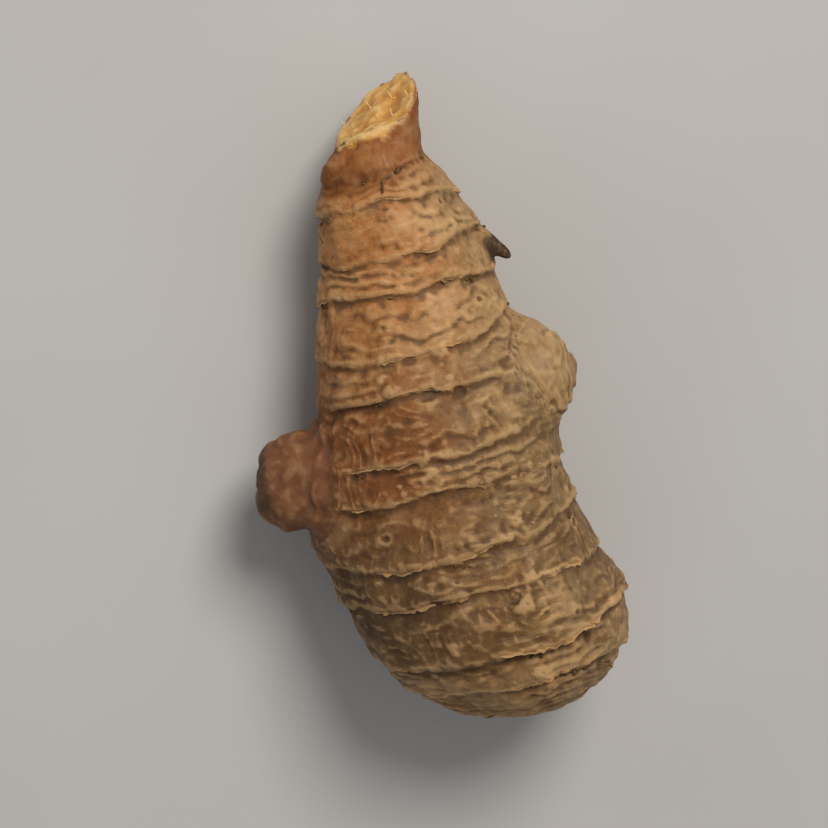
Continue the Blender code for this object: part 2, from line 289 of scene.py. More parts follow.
# How each kind is raised, paled and darkened. Each row is a strength, how far out it lies and how wide it
# is. All are shares of the mark's radius, but for the strengths of the colours.
MARK_FORMS = {
    "pit": (((-0.34, 0.0, 0.6),), (), ((0.62, 0.0, 0.5),)),
    # A nub's pale top is partly a rootlet scar's colour and partly a painted highlight.
    "nub": (((0.42, 0.0, 0.7), (-0.14, 0.0, 0.25)), ((0.50, 0.0, 0.6),), ((0.35, 0.0, 0.2),)),
    # A highlight patch is a painted highlight, barely raised.
    "highlight_patch": (((0.08, 0.0, 0.7),), ((0.42, 0.0, 0.7),), ()),
    "stain": (((-0.06, 0.0, 0.7),), (), ((0.45, 0.0, 0.7),)),
    "scar": (((0.09, 0.8, 0.4), (-0.24, 0.0, 0.5)), ((0.12, 0.8, 0.4),), ((0.42, 0.0, 0.42),)),
}

# Papery strips set in rounds: ranges of their span and gap in radians, of their width in millimetres and of
# their lift in degrees, and how much of the last turn stays bare.
HUSKS = {"span": (0.25, 1.15), "gap": (0.2, 1.0), "width": (0.30, 0.80), "lift": (12.0, 34.0), "bare": 0.6}
TORN_SKIN = {"span": (0.4, 1.1), "gap": (0.0, 0.25), "width": (0.35, 0.75), "lift": (5.0, 22.0), "bare": 0.3}
HUSK_THICKNESS = 0.06 * MM
TORN_SKIN_THICKNESS = 0.09 * MM
TORN_SKIN_BACK = 0.75 * MM  # how far behind the tear it is rooted
STRIP_STEP = 0.24 * MM  # between two columns of a strip
STRIP_ROOT = 0.12 * MM  # how deep a strip sits in the skin
STRIP_TAPER = 7.0  # a strip narrows over a seventh of its length at each end
# Teeth, tears and curl of a strip: how far its noise moves with each column, and its row in the noise.
STRIP_NOISE = ((0.42, 0.0), (0.09, 3.0), (0.06, 7.0))

# Dried rootlets and fibres, as ranges in millimetres. A rootlet leans within this turn, in radians.
ROOTLET_LENGTH, ROOTLET_RADIUS, ROOTLET_CURL = (0.9, 2.6), (0.09, 0.18), (-0.4, 0.4)
ROOTLET_TURN = (-1.4, 1.4)
ROOTLET_ANGLES = (-0.9, math.pi + 0.9)  # off the underside
ROOTLET_PAST_RING = 0.3 * MM
FIBRE_LENGTH, FIBRE_RADIUS, FIBRE_CURL = (0.5, 1.2), (0.05, 0.09), (-0.2, 0.2)
TUBE_TAPER = 0.55
TUBE_LUMPS = 0.4 * MM

# Soil. Of the clusters, this share lies in grooves, and the others within this range of millimetres.
IN_GROOVES = 0.9
OUT_OF_GROOVES = (9.0, 55.0)
CLUSTER_COUNT = (3, 13)
# Spread of a cluster round the root, in radians, and its place and spread past a ring, in millimetres.
CLUSTER_SPREAD = 0.04
CLUSTER_PAST_RING = (0.2, 0.13)
# Radius of a crumb, in millimetres. Large ones are rarer, by this rate.
CRUMB_SMALLEST, CRUMB_LARGEST, CRUMB_RATE = 0.07, 0.26, 16.0
CRUMB_WIDTH, CRUMB_HEIGHT = (0.6, 1.0), (0.5, 0.8)  # as shares of its length
SOIL_START = 8.0 * MM
SOIL_LOWEST = 0.6 * MM

# The view: from above, leaning towards the neck and the side finger, with the neck at the picture's top.
VIEW_FROM = Vector((-0.204, -0.159, 0.966)).normalized()
VIEW_UP = Vector((-0.972, 0.235, 0.0))
SENSOR_WIDTH = 36.0
CLIP_RANGE = (0.005, 10.0)
# Soft round lights: direction, distance, width and colour.
KEY_LIGHT = (Vector((-0.85, 0.46, 1.20)).normalized(), 0.55, 0.26, "#FFFAF3")
FILL_LIGHT = (Vector((0.60, -0.80, 0.55)).normalized(), 0.60, 0.50, "#F2F6FF")
SKY_COLOUR = "#EEF0F2"
FLOOR_RADIUS = 1.0
FLOOR_INSET = 0.4

# Sockets of the nodes, and the name that tables of patterns give to a piece's own coordinates.
MIX_SHARE, MIX_UNDER, MIX_OVER, MIX_RESULT = 0, 6, 7, 2
RANGE_SOCKETS = ("From Min", "From Max", "To Min", "To Max")
OBJECT = "the object's own coordinates"


def srgb(code):
    """A hex colour as linear red, green, blue and alpha."""
    parts = [int(code[start:start + 2], 16) / 255 for start in (1, 3, 5)]
    return (*(part / 12.92 if part <= 0.04045 else ((part + 0.055) / 1.055) ** 2.4 for part in parts), 1.0)


def size_setting(name, description, default):
    return bpy.props.FloatProperty(name=name, description=description, default=default, unit="LENGTH")


def count_setting(name, description, default):
    return bpy.props.IntProperty(name=name, description=description, default=default, min=0)


def colour_setting(name, description, code):
    return bpy.props.FloatVectorProperty(
        name=name, description=description, default=srgb(code), size=4, min=0.0, max=1.0, subtype="COLOR"
    )


class RootSettings(bpy.types.PropertyGroup):
    """Sizes and colours of the root's surface."""

    grain: size_setting("Mesh size", "Edge length of the fine mesh", 0.232 * MM)
    lip_height: size_setting("Ring lip", "Extra height of each ring's edge", 0.14 * MM)
    between_height: size_setting("Fine rings", "Height of the fine rings between two leaf scars", 0.14 * MM)
    wrinkle_height: size_setting("Wrinkles", "Depth of the skin's wrinkles", 0.10 * MM)
    lump_height: size_setting("Lumps", "Height of the skin's small lumps", 0.20 * MM)
    mark_count: count_setting("Marks", "How many scattered pits, nubs and rootlet scars", 56)
    rootlet_count: count_setting("Rootlets", "How many dried hair roots are left", 11)
    fibre_count: count_setting("Fibres", "How many fibres stand out of the torn flesh", 16)
    crumb_count: count_setting("Soil crumbs", "How many crumbs of soil", 260)
    seed: count_setting("Seed", "Start of every random draw", 7)
    skin: colour_setting("Skin", "Tan cork of the skin", "#B38C5E")
    blush: colour_setting("Blush", "Skin where the orange flesh shows through", "#AF6E35")
    old_skin: colour_setting("Old skin", "Browner skin towards the growing end", "#6F4F28")
    # Dark ring lines: the rings' own darker colour, with painted shade under the lips.
    groove: colour_setting("Groove", "Bottom of the grooves", "#43290F")
    flesh: colour_setting("Flesh", "Torn flesh", "#D5A65C")


class StageSettings(bpy.types.PropertyGroup):
    """Camera and light."""

    lens: bpy.props.FloatProperty(name="Lens", description="Focal length in millimetres", default=120.0)
    share: bpy.props.FloatProperty(
        name="Share of the picture", description="How much of its height the root fills", default=0.80
    )
    key: bpy.props.FloatProperty(name="Main light", description="Power in watts", default=2.55)
    fill: bpy.props.FloatProperty(name="Fill light", description="Power in watts", default=0.15)
    sky: bpy.props.FloatProperty(name="Sky", description="Strength of the even light", default=0.38)


def add(tree, kind, inputs=None, **settings):
    """Adds a node, with its settings, and with each input set to a value or linked to an output."""
    node = tree.nodes.new(kind)
    for name, value in settings.items():
        setattr(node, name, value)
    for name, value in (inputs or {}).items():
        if isinstance(value, bpy.types.NodeSocket):
            tree.links.new(value, node.inputs[name])
        else:
            node.inputs[name].default_value = value
    return node


def finish(name, patterns, colour, layers, shading, bumps=(), gloss=None):
    """Makes a material whose colours and bumps follow patterns of noise and numbers painted on the mesh.

    A pattern is its coordinates, the real size of its lumps, its detail and roughness, and its stretch.
    A layer is a painted number, a pattern, the range of it that is spread over another range, and the
    colour laid on by that. A bump is a painted number, a pattern, a depth and a strength. Gloss is a
    pattern, a range of it and the roughness that this gives.
    """
    material = bpy.data.materials.new(name)
    material.use_nodes = True
    tree = material.node_tree
    shader = tree.nodes["Principled BSDF"]
    for socket, value in shading.items():
        shader.inputs[socket].default_value = value

    values = {}
    for pattern, (space, size, detail, roughness, stretch) in patterns.items():
        if space == OBJECT:
            place = add(tree, "ShaderNodeTexCoord").outputs["Object"]
        else:
            place = add(tree, "ShaderNodeAttribute", attribute_name=space).outputs["Vector"]
        place = add(tree, "ShaderNodeMapping", {"Vector": place, "Scale": stretch}).outputs[0]
        inputs = {"Vector": place, "Scale": 1.0 / size, "Detail": detail, "Roughness": roughness}
        values[pattern] = add(tree, "ShaderNodeTexNoise", inputs).outputs[0]
    for painted in sorted({row[0] for row in (*layers, *bumps) if row[0]}):
        values[painted] = add(tree, "ShaderNodeAttribute", attribute_name=painted).outputs["Fac"]

    for painted, pattern, ranges, over in layers:
        share = values[pattern or painted]
        if ranges:
            inputs = {"Value": share, **dict(zip(RANGE_SOCKETS, ranges))}
            share = add(tree, "ShaderNodeMapRange", inputs, interpolation_type="SMOOTHSTEP").outputs[0]
        if painted and pattern:
            inputs = {0: values[painted], 1: share}
            share = add(tree, "ShaderNodeMath", inputs, operation="MULTIPLY").outputs[0]
        inputs = {MIX_SHARE: share, MIX_UNDER: colour, MIX_OVER: over}
        colour = add(tree, "ShaderNodeMix", inputs, data_type="RGBA").outputs[MIX_RESULT]
    tree.links.new(colour, shader.inputs["Base Color"])

    if gloss:
        inputs = {"Value": values[gloss[0]], **dict(zip(RANGE_SOCKETS, gloss[1:]))}
        share = add(tree, "ShaderNodeMapRange", inputs, interpolation_type="SMOOTHSTEP").outputs[0]
        tree.links.new(share, shader.inputs["Roughness"])
    below = {}
    for painted, pattern, depth, strength in bumps:
        height = values[pattern]
        if painted:
            inputs = {0: values[painted], 1: height}
            height = add(tree, "ShaderNodeMath", inputs, operation="MULTIPLY").outputs[0]
        inputs = {"Height": height, "Distance": depth, "Strength": strength, **below}
        below = {"Normal": add(tree, "ShaderNodeBump", inputs).outputs[0]}
        tree.links.new(below["Normal"], shader.inputs["Normal"])
    return material


def cork_skin(settings):
    """Thin cork over live tissue, dug and washed: matt, mottled tan and brown, orange showing through."""
    patterns = {
        "drift": (OBJECT, 9.0 * MM, 2.0, 0.5, EVEN),
        "mottle": (OBJECT, 2.2 * MM, 4.0, 0.6, EVEN),
        "blotch": ("flow", 2.8 * MM, 3.0, 0.55, (1.0, 0.6, 0.6)),
        "fine": (OBJECT, 0.45 * MM, 3.0, 0.65, EVEN),
        "streak": ("flow", 0.8 * MM, 3.0, 0.6, (0.2, 1.0, 1.0)),
        "band": ("flow", 1.0 * MM, 3.0, 0.6, (1.0, 0.16, 0.16)),
    }
    layers = (
        (None, "drift", (0.38, 0.62, 0.0, 0.6), srgb("#A67D4D")),
        ("blush", "mottle", (0.25, 0.60, 0.40, 0.95), settings.blush),
        ("aged", "drift", (0.3, 0.65, 0.8, 1.0), settings.old_skin),
        # painted light: a cool grey tint on the +Y side and the top, for cool light reflected from that side
        ("ashen", "drift", (0.3, 0.65, 0.4, 0.8), srgb("#8B7452")),
        (None, "mottle", (0.48, 0.68, 0.0, 0.55), srgb("#744A22")),
        (None, "blotch", (0.50, 0.68, 0.0, 0.45), srgb("#C29C6A")),
        ("crosswise", "band", (0.52, 0.70, 0.0, 0.60), srgb("#5E3B1B")),
        ("crosswise", "band", (0.48, 0.30, 0.0, 0.40), srgb("#C59D6C")),
        ("lengthwise", "streak", (0.55, 0.72, 0.0, 0.45), srgb("#664120")),
        ("lengthwise", "streak", (0.45, 0.30, 0.0, 0.25), srgb("#C29A6B")),
        (None, "fine", (0.60, 0.74, 0.0, 0.50), srgb("#54341A")),
        (None, "fine", (0.42, 0.28, 0.0, 0.35), srgb("#CDA878")),
        ("rosy", "mottle", (0.3, 0.6, 0.45, 0.75), srgb("#84461C")),
        # painted shade: darker brown on the -Y side towards the growing end
        ("soiled", "mottle", (0.3, 0.6, 0.4, 0.8), srgb("#4B361F")),
        # paler along each ring's lip: the dry scale edge's own colour, with a painted highlight on the
        # raised edge
        ("lip", "fine", (0.35, 0.60, 0.2, 0.7), srgb("#C9A270")),
        # dark ring lines, partly their own colour and partly painted shade
        ("groove", "mottle", (0.3, 0.6, 0.4, 0.9), settings.groove),
        # pale: the rims of scars, and painted highlights on nubs and patches
        ("mark_rim", None, None, srgb("#C9A173")),
        ("mark_eye", None, None, srgb("#3A2110")),
        # painted shade: darker brown in the skin's hollows and creases
        ("hollow", None, (0.05, 0.9, 0.0, 0.60), srgb("#4A2D15")),
        # painted highlight: paler on the skin's sharp crests
        ("crest", None, (0.1, 0.9, 0.0, 0.30), srgb("#D2A976")),
        ("dust", "fine", (0.35, 0.65, 0.2, 0.8), srgb("#6E543A")),
        ("neck", "mottle", (0.3, 0.6, 0.60, 1.00), srgb("#824617")),
        # painted shade in the crease at the neck's foot, mostly on the -Y side
        ("fold", "mottle", (0.3, 0.6, 0.45, 0.85), srgb("#6A3910")),
        ("bud", "mottle", (0.35, 0.60, 0.70, 0.15), srgb("#A98E69")),
        ("bud_tip", "mottle", (0.3, 0.6, 0.4, 0.8), srgb("#7F6242")),
        ("stub", "mottle", (0.3, 0.6, 0.40, 0.65), srgb("#6A452F")),
        ("dead", "fine", (0.3, 0.6, 0.75, 1.0), srgb("#33241A")),
    )
    shading = {
        "IOR": 1.45,
        "Specular IOR Level": 0.30,
        "Subsurface Weight": 0.06,
        "Subsurface Radius": (1.0, 0.45, 0.2),
        "Subsurface Scale": 0.8 * MM,
    }
    bumps = (
        ("lengthwise", "streak", 0.20 * MM, 0.8),
        ("crosswise", "band", 0.24 * MM, 0.8),
        (None, "fine", 0.12 * MM, 0.8),
    )
    gloss = ("mottle", 0.3, 0.7, 0.50, 0.74)
    return finish("turmeric_cork_skin", patterns, settings.skin, layers, shading, bumps, gloss)


def torn_flesh(settings):
    """Raw flesh of the rhizome where it snapped: moist, yellow to orange, granular, with paler fibres."""
    patterns = {
        "broad": (OBJECT, 1.6 * MM, 3.0, 0.5, EVEN),
        "fine": (OBJECT, 0.35 * MM, 3.0, 0.65, EVEN),
    }
    layers = (
        (None, "broad", (0.35, 0.65, 0.0, 0.7), srgb("#C98E3C")),
        ("core", None, None, srgb("#C68636")),
        (None, "fine", (0.55, 0.75, 0.0, 0.5), srgb("#E8C88C")),
        ("stele", None, None, srgb("#AB6C24")),
        # painted shade: deeper orange in the flesh's hollows
        ("hollow", None, (0.1, 0.9, 0.0, 0.5), srgb("#A3611F")),
        # painted highlight: paler on the flesh's sharp crests and edges
        ("crest", None, (0.1, 0.9, 0.0, 0.4), srgb("#EBCF98")),
        ("rim", None, None, srgb("#8E511C")),
    )
    shading = {
        "Roughness": 0.46,
        "IOR": 1.42,
        "Subsurface Weight": 0.2,
        "Subsurface Radius": (1.0, 0.45, 0.12),
        "Subsurface Scale": 1.0 * MM,
    }
    bumps = ((None, "fine", 0.14 * MM, 0.8),)
    return finish("turmeric_torn_flesh", patterns, settings.flesh, layers, shading, bumps)


def dry_husk():
    """Papery remains of scale leaves: dry, fibrous and ragged, straw-coloured to brown."""
    patterns = {
        "broad": (OBJECT, 2.5 * MM, 3.0, 0.6, EVEN),
        "fine": (OBJECT, 0.3 * MM, 3.0, 0.6, EVEN),
    }
    layers = (
        (None, "broad", (0.40, 0.60, 0.0, 1.0), srgb("#63421F")),
        (None, "fine", (0.5, 0.7, 0.0, 0.5), srgb("#43290F")),
        ("edge", None, None, srgb("#C9A273")),
    )
    shading = {"Roughness": 0.82, "Specular IOR Level": 0.3}
    bumps = ((None, "fine", 0.08 * MM, 0.7),)
    return finish("turmeric_dry_husk", patterns, srgb("#AD824F"), layers, shading, bumps)


def pale_fibre():
    """Vascular fibres drawn out of the flesh as it tore: thin, moist and pale yellow."""
    patterns = {"broad": (OBJECT, 0.6 * MM, 3.0, 0.6, EVEN)}
    layers = ((None, "broad", (0.4, 0.6, 0.0, 1.0), srgb("#D9A14F")),)
    bumps = ((None, "broad", 0.05 * MM, 0.5),)
    return finish("turmeric_pale_fibre", patterns, srgb("#F2D79C"), layers, {"Roughness": 0.5}, bumps)


def dead_rootlet():
    """Dried hair roots: shrunken and wiry, brown, darker at the broken tip."""
    patterns = {"broad": (OBJECT, 0.8 * MM, 3.0, 0.6, EVEN)}
    layers = (
        (None, "broad", (0.4, 0.65, 0.0, 1.0), srgb("#4A3019")),
        ("edge", None, (0.5, 1.0, 0.0, 0.8), srgb("#2A1A0F")),
    )
    bumps = ((None, "broad", 0.1 * MM, 0.6),)
    return finish("turmeric_dead_rootlet", patterns, srgb("#80603C"), layers, {"Roughness": 0.78}, bumps)


def dry_soil():
    """Dry loam left in the grooves after washing: dull, crumbly, grey-brown."""
    patterns = {"broad": (OBJECT, 0.5 * MM, 3.0, 0.6, EVEN)}
    layers = ((None, "broad", (0.35, 0.65, 0.0, 1.0), srgb("#4A3624")),)
    shading = {"Roughness": 0.95, "Specular IOR Level": 0.1}
    bumps = ((None, "broad", 0.05 * MM, 0.7),)
    return finish("dry_loam", patterns, srgb("#79603F"), layers, shading, bumps)


def painted_board():
    """The floor, a smooth board under flat pale paint: matt, and all but even in colour."""
    patterns = {"cloud": (OBJECT, 60 * MM, 3.0, 0.5, EVEN)}
    layers = ((None, "cloud", (0.3, 0.7, 0.0, 1.0), srgb("#BDBBB8")),)
    shading = {"Roughness": 0.85, "Specular IOR Level": 0.2}
    return finish("pale_matt_paint", patterns, srgb("#B8B5B2"), layers, shading)


def deselect():
    for each in bpy.context.view_layer.objects:
        each.select_set(False)


def only(piece):
    """Makes a piece the only selected one."""
    deselect()
    piece.select_set(True)
    bpy.context.view_layer.objects.active = piece


def added(name):
    """Names the piece that an operator has just added."""
    piece = bpy.context.active_object
    piece.name = name
    piece.data.name = name
    return piece


def finish_with(piece, kind, **settings):
    """Adds a modifier and applies it."""
    only(piece)
    modifier = piece.modifiers.new(kind.lower(), kind)
    for name, value in settings.items():
        setattr(modifier, name, value)
    bpy.ops.object.modifier_apply(modifier=modifier.name)


def joined(pieces, name):
    """Joins copies into one piece."""
    deselect()
    for piece in pieces:
        piece.select_set(True)
    bpy.context.view_layer.objects.active = pieces[0]
    bpy.ops.object.join()
    return added(name)


def copied(template):
    """A copy of a template, with its own mesh."""
    copy = template.copy()
    copy.data = template.data.copy()
    bpy.context.collection.objects.link(copy)
    return copy


def places_of(piece):
    """The vertices' places, as an array."""
    flat = np.empty(len(piece.data.vertices) * 3, np.float32)
    piece.data.vertices.foreach_get("co", flat)
    return flat.reshape(-1, 3).astype(float)


def move_to(piece, places):
    piece.data.vertices.foreach_set("co", places.astype(np.float32).ravel())
    piece.data.update()


def normals_of(piece):
    flat = np.empty(len(piece.data.vertices) * 3, np.float32)
    piece.data.vertex_normals.foreach_get("vector", flat)
    return flat.reshape(-1, 3).astype(float)


def paint(piece, **numbers):
    """Stores numbers, or directions, on the vertices for the materials."""
    for name, values in numbers.items():
        kind, field = ("FLOAT", "value") if values.ndim == 1 else ("FLOAT_VECTOR", "vector")
        attribute = piece.data.attributes.new(name, kind, "POINT")
        attribute.data.foreach_set(field, values.astype(np.float32).ravel())


def hand_in(piece, material=None):
    """Ties a finished piece to the root's body and to the slot of its skin."""
    if material:
        piece.data.materials.clear()
        piece.data.materials.append(material)
    piece.data.shade_smooth()
    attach(piece, BODY)
    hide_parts(NODE)


def clipped(values):
    return np.clip(values, 0.0, 1.0)


def eased(share):
    share = clipped(share)
    return share * share * (3.0 - 2.0 * share)


def after(values, start, over):
    """0 up to the start, then rising to 1 over this much."""
    return eased((values - start) / over)


def before(values, end, over):
    """1 at first, then falling over this much to 0 at the end."""
    return eased((end - values) / over)


def bell(offset, width):
    """1 in the middle, falling to nothing within about two widths."""
    return np.exp(-((offset / width) ** 2))


def near(values, middle, width):
    return bell(values - middle, width)


def ridge(offset, height, width, groove, groove_width):
    """A low ridge with a groove behind it."""
    return height * (bell(offset, width) - near(offset, groove, groove_width))


def noise_at(points, size, seed=0.0):
    """Smooth noise about zero, with lumps of this size."""
    return np.array([noise.noise(place) for place in (points / size + seed).tolist()])


def rough(name, points):
    """The noise that has this name in the table, at these points."""
    size, seed, stretch = NOISE[name]
    return noise_at(points * stretch, size, seed)


def ridged(values):
    """Sharp crests where the noise crosses zero."""
    return 1.0 - np.minimum(1.0, np.abs(values) * 3.0)


def girth(distance, column):
    return np.interp(distance, GIRTH[:, 0], GIRTH[:, column])


def axis_height(distance):
    lift = NECK_LIFT * (1.0 - eased(distance / NECK_LIFT_END)) ** NECK_LIFT_POWER
    lift = lift + TIP_LIFT * after(distance, TIP_LIFT_START, AXIS_LENGTH - TIP_LIFT_START)
    return girth(distance, 2) - BELLY_SINK + lift


def closing(distance):
    """1 along the sides, falling to 0 at the growing end."""
    share = clipped((distance - DOME_START) / (AXIS_LENGTH - DOME_START))
    return (1.0 - share * share) ** DOME_POWER


def axis_point(distance):
    return ORIGIN + Vector((distance, float(girth(distance, 3)), float(axis_height(distance))))


def spoke(distance, angle):
    """From the axis to the smooth skin."""
    wide, tall = float(girth(distance, 1)), float(girth(distance, 2))
    return Vector((0.0, wide * math.cos(angle), tall * math.sin(angle)))


def measured(points):
    """Each point's distance along the root, its angle round the axis, and its reach from the axis."""
    local = points - np.array(ORIGIN)
    distance = np.clip(local[:, 0], 0.0, AXIS_LENGTH)
    across, up = local[:, 1] - girth(distance, 3), local[:, 2] - axis_height(distance)
    angle = np.arctan2(up / girth(distance, 2), across / girth(distance, 1))
    return distance, angle, np.hypot(across, up)


def ring_shift(distance, angle):
    """How far a ring leans and wanders from a true circle here."""
    lean = np.interp(distance, RINGS[:, 0], RINGS[:, 1]) * np.sin(angle - LEAN_TURN)
    turned = np.stack((np.cos(angle), np.sin(angle), np.zeros_like(angle)), 1) * RING_WAVE_TURNS
    turned[:, 2] = distance / RING_WAVE_LENGTH
    calm = closing(distance) * after(distance, NECK_EDGE, RINGS[0, 0] - NECK_EDGE)
    return (lean + RING_WAVE * noise_at(turned, 1.0)) * calm


def ring_number(distance, angle):
    """Which ring a point lies at: a whole number in a groove, and shares between two grooves."""
    start = distance
    for _ in range(3):
        start = distance - ring_shift(start, angle)
    places = np.concatenate(([NECK_EDGE], RINGS[:, 0], [AXIS_LENGTH + 1.0 * MM]))
    return np.interp(start, places, np.arange(-1, len(RINGS) + 1))


def length_over_skin(distance):
    """Distance along the skin, which is more than that along the axis where the end closes."""
    steps = np.linspace(0.0, AXIS_LENGTH, 600)
    radius = girth(steps, 2) * closing(steps)
    walked = np.concatenate(([0.0], np.cumsum(np.hypot(np.diff(steps), np.diff(radius)))))
    return np.interp(distance, steps, walked)


def flow_over(distance, angle, reach):
    """The root drawn out straight, so that patterns follow its skin."""
    return np.stack((length_over_skin(distance), reach * np.cos(angle), reach * np.sin(angle)), 1)


def from_axis(points, foot, axis):
    """How far along a shoot's axis each point lies, and its offset and distance aside of it."""
    local = points - np.array(foot)
    along = local @ np.array(axis)
    aside = local - along[:, None] * np.array(axis)
    return along, aside, np.linalg.norm(aside, axis=1)


def from_bud(points, shift=Vector()):
    return from_axis(points, axis_point(BUD[0]) + spoke(*BUD) + shift, spoke(*BUD).normalized())


def from_stub(points):
    return from_axis(points, ORIGIN + STUB_FOOT, STUB_AXIS)


def tear_behind(points):
    """How far behind the torn face of the neck each point lies, and how far out from its middle."""
    local = points - np.array(ORIGIN)
    y = local[:, 1] - girth(NECK_EDGE, 3)
    z = local[:, 2] - axis_height(NECK_EDGE)
    across = np.stack((y, z, np.zeros_like(y)), 1)
    rugged = noise_at(across, TEAR_COARSE) + TEAR_FINE_SHARE * noise_at(across, TEAR_FINE)
    offset = (TEAR_RISE + TEAR_TWIST * y) * z + TEAR_SLANT * y + TEAR_ROUGH * rugged
    out = np.hypot(y / girth(NECK_EDGE, 1), z / girth(NECK_EDGE, 2))
    return local[:, 0] - NECK_EDGE - offset, out


class Surface:
    """Where each vertex of the body lies on the root, and the patterns that its relief and paint share."""

    def __init__(self, body, settings):
        self.points, self.normals = places_of(body), normals_of(body)
        self.distance, self.angle, self.reach = measured(self.points)
        self.side, self.upward = np.cos(self.angle), np.sin(self.angle)
        self.number = ring_number(self.distance, self.angle)
        self.share = self.number % 1.0
        self.young = before(self.distance, *YOUNG_END)
        self.find_shoots()
        self.find_flesh()
        self.find_flow()
        off_floor = after(self.points[:, 2], 0.0, 0.6 * MM)
        self.calm = off_floor * (1.0 - self.flesh) * (1.0 - 0.7 * self.dead)
        self.on_rings = self.calm * after(self.distance, RINGS_START, 1.0 * MM) * (1.0 - self.shoot)
        self.find_rings()
        self.find_wrinkles()
        self.mark_relief, self.mark_rim, self.mark_eye = marks_over(self, settings)

    def find_shoots(self):
        along, self.bud_across, self.bud_aside = from_bud(self.points)
        self.bud = before(self.bud_aside, BUD_FOOT, 0.9 * MM) * (along > -BUD_DEPTH)
        tip_away = from_bud(self.points, Vector((BUD_TIP_SHIFT, 0.0, 0.0)))[2]
        self.bud_tip_away = tip_away + 1.3 * MM * rough("bud's rings", self.points)

        self.stub_along, self.stub_across, aside = from_stub(self.points)
        within = before(aside, STUB_RADIUS + 0.3 * MM, 0.8 * MM)
        self.stub = after(self.stub_along, STUB_START - 0.9 * MM, 2.4 * MM) * within
        waved = self.stub_along + 1.3 * MM * rough("finger's end", self.points)
        self.stub_end = after(waved, STUB_LENGTH - 1.1 * MM, 1.1 * MM) * within

        along, _, aside = from_axis(self.points, ORIGIN + STUMP_FOOT, STUMP_AXIS)
        aside = aside + 1.1 * MM * rough("stump", self.points)
        self.dead = after(along, STUMP_START, 0.9 * MM) * before(aside, STUMP_RADIUS, 0.7 * MM)
        self.shoot = np.maximum(np.maximum(self.bud, self.stub), self.dead)

    def find_flesh(self):
        """Flesh is what faces the tear and lies close behind it, with a ragged edge."""
        behind, self.tear_out = tear_behind(self.points)
        ragged = rough("torn edge", self.points)
        facing = self.normals @ np.array(TEAR_NORMAL) + 0.35 * ragged > 0.45
        close = (behind < TEAR_DEPTH + 0.6 * MM * ragged) & (self.distance < TEAR_END)
        self.flesh = (facing & close).astype(float)

    def find_flow(self):
        """Flow follows the root, but runs along the side finger and in rings round the bud."""
        flow = flow_over(self.distance, self.angle, self.reach)
        stub_flow = self.stub_across + np.array((STUB_FOOT.x - STUB_START, 0.0, 0.0))
        stub_flow[:, 0] += self.stub_along
        bud_flow = 0.4 * self.bud_across
        bud_flow[:, 0] = BUD[0] + self.bud_aside
        flow = flow + (stub_flow - flow) * self.stub[:, None]
        flow = flow + (bud_flow - flow) * self.bud[:, None]
        wander = [noise_at(self.points, WANDER_SIZE, start) for start in WANDER_STARTS]
        self.flow = flow + WANDER * np.stack(wander, 1)

    def find_rings(self):
        """Each ring's lip, strong in places and faint in others, and the fine rings between two of them."""
        around = np.stack((self.side, self.upward, np.floor(self.number) * 1.7), 1)
        self.strength = np.clip(0.66 + 1.2 * noise_at(around, 0.5), 0.0, 1.5)
        self.patchy = clipped(0.45 + 1.9 * rough("patches", self.flow))
        width = LIP_WIDTH * (1.0 + 0.9 * rough("lip width", self.flow))
        waved = self.share + LIP_WAVER * rough("lip waver", self.flow)
        self.lip = near(waved, RING_LIP, width) * self.strength
        waver = 0.55 * rough("fine ring drift", self.flow) + 0.35 * rough("fine ring waver", self.flow)
        self.between = (self.number * FINE_RINGS + waver) % 1.0
        self.fading = clipped(0.40 + 1.9 * rough("fine ring fading", self.flow))

    def find_wrinkles(self):
        """Where the skin wrinkles along the root, and where it ripples across it."""
        lengthwise = clipped(0.12 + 2.0 * rough("lengthwise", self.points))
        self.lengthwise = lengthwise * (1.0 - 0.6 * self.shoot)
        crosswise = clipped(0.60 + 1.8 * rough("crosswise", self.points))
        self.crosswise = crosswise * (1.0 - self.lengthwise) * (1.0 - 0.5 * self.shoot)

    def nearest_to(self, distance, angle):
        """The vertex at this distance and angle."""
        reach = float(girth(distance, 1) * closing(distance))
        centre = flow_over(np.array([distance]), np.array([angle]), np.array([reach]))[0]
        return int(np.argmin(((flow_over(self.distance, self.angle, self.reach) - centre) ** 2).sum(1)))


